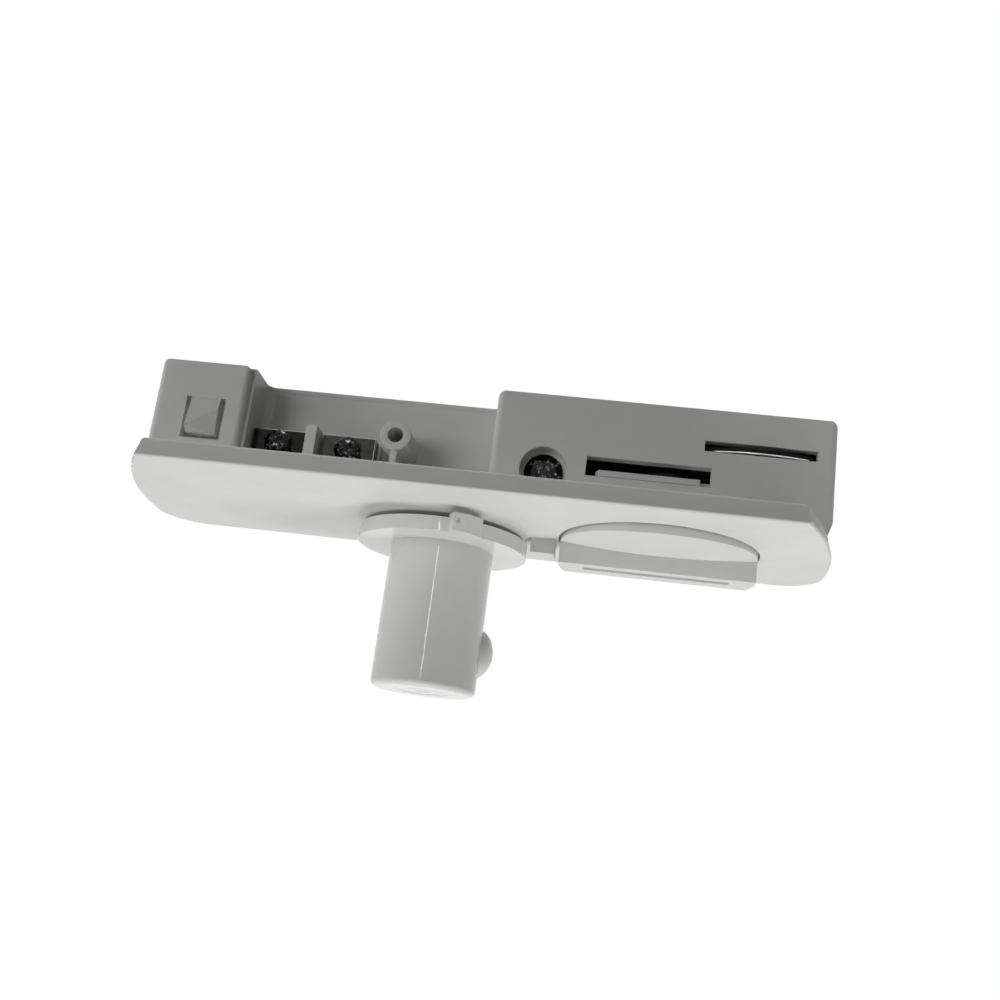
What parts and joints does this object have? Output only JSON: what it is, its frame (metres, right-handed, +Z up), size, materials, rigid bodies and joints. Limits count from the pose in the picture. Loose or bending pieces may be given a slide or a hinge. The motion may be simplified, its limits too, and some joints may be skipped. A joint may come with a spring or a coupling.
{
  "type": "track light adapter",
  "caption": "Narrow adapter on a D-shaped plate that locks into a lighting track with a turning lever, with sprung contacts, an open wiring tray and a swivelling cord outlet.",
  "frame": {"origin": "on the plate's upper face, which seats against the track, at the middle of the plate's length and on the centre line of the narrow body", "axes": "+X along the track with the contact end positive, +Y away from the cover side, +Z up into the track"},
  "size_m": [0.0976, 0.035, 0.0422],
  "materials": {
    "white_plastic": "satin moulded",
    "grey_plastic": "moulded",
    "contact_metal": "stamped, tarnished",
    "terminal_metal": "dark plating, worn at its edges",
    "dark_steel": "dark zinc, worn at its edges",
    "spring_steel": "bright"
  },
  "bodies": {
    "housing": {"base_housing": "white_plastic", "mechanism_cover": "white_plastic", "cover_screw": "dark_steel", "spring_washer": "spring_steel", "live_spring": "spring_steel", "neutral_spring": "spring_steel", "contact_divider": "grey_plastic", "live_strip": "contact_metal", "neutral_strip": "contact_metal", "live_clamp": "terminal_metal", "neutral_clamp": "terminal_metal", "live_screw": "terminal_metal", "neutral_screw": "terminal_metal", "tube_clip": "spring_steel"},
    "lever": {"lock_lever": "white_plastic", "lock_wing": "grey_plastic", "wing_screw": "dark_steel"},
    "live_shoe": {"live_contact": "contact_metal"},
    "neutral_shoe": {"neutral_contact": "contact_metal"},
    "outlet": {"cord_tube": "white_plastic", "clamp_screw": "white_plastic"}
  },
  "joints": [
    {"name": "lever_turn", "type": "hinge", "parent": "housing", "child": "lever", "pos_m": [0.0251, 0, 0], "axis": [0, 0, 1], "range_deg": [0, 90]},
    {"name": "live_press", "type": "slide", "parent": "housing", "child": "live_shoe", "axis": [0, 1, 0], "range_m": [0, 0.0011], "stiffness_N_per_m": 2000, "springref_m": -0.0004, "deforming": ["live_spring"]},
    {"name": "neutral_press", "type": "slide", "parent": "housing", "child": "neutral_shoe", "axis": [0, -1, 0], "range_m": [0, 0.0011], "stiffness_N_per_m": 2000, "springref_m": -0.0004, "deforming": ["neutral_spring"]},
    {"name": "outlet_swivel", "type": "hinge", "parent": "housing", "child": "outlet", "pos_m": [-0.00445, 0, 0], "axis": [0, 0, 1], "range_deg": [-255, 55]}
  ]
}
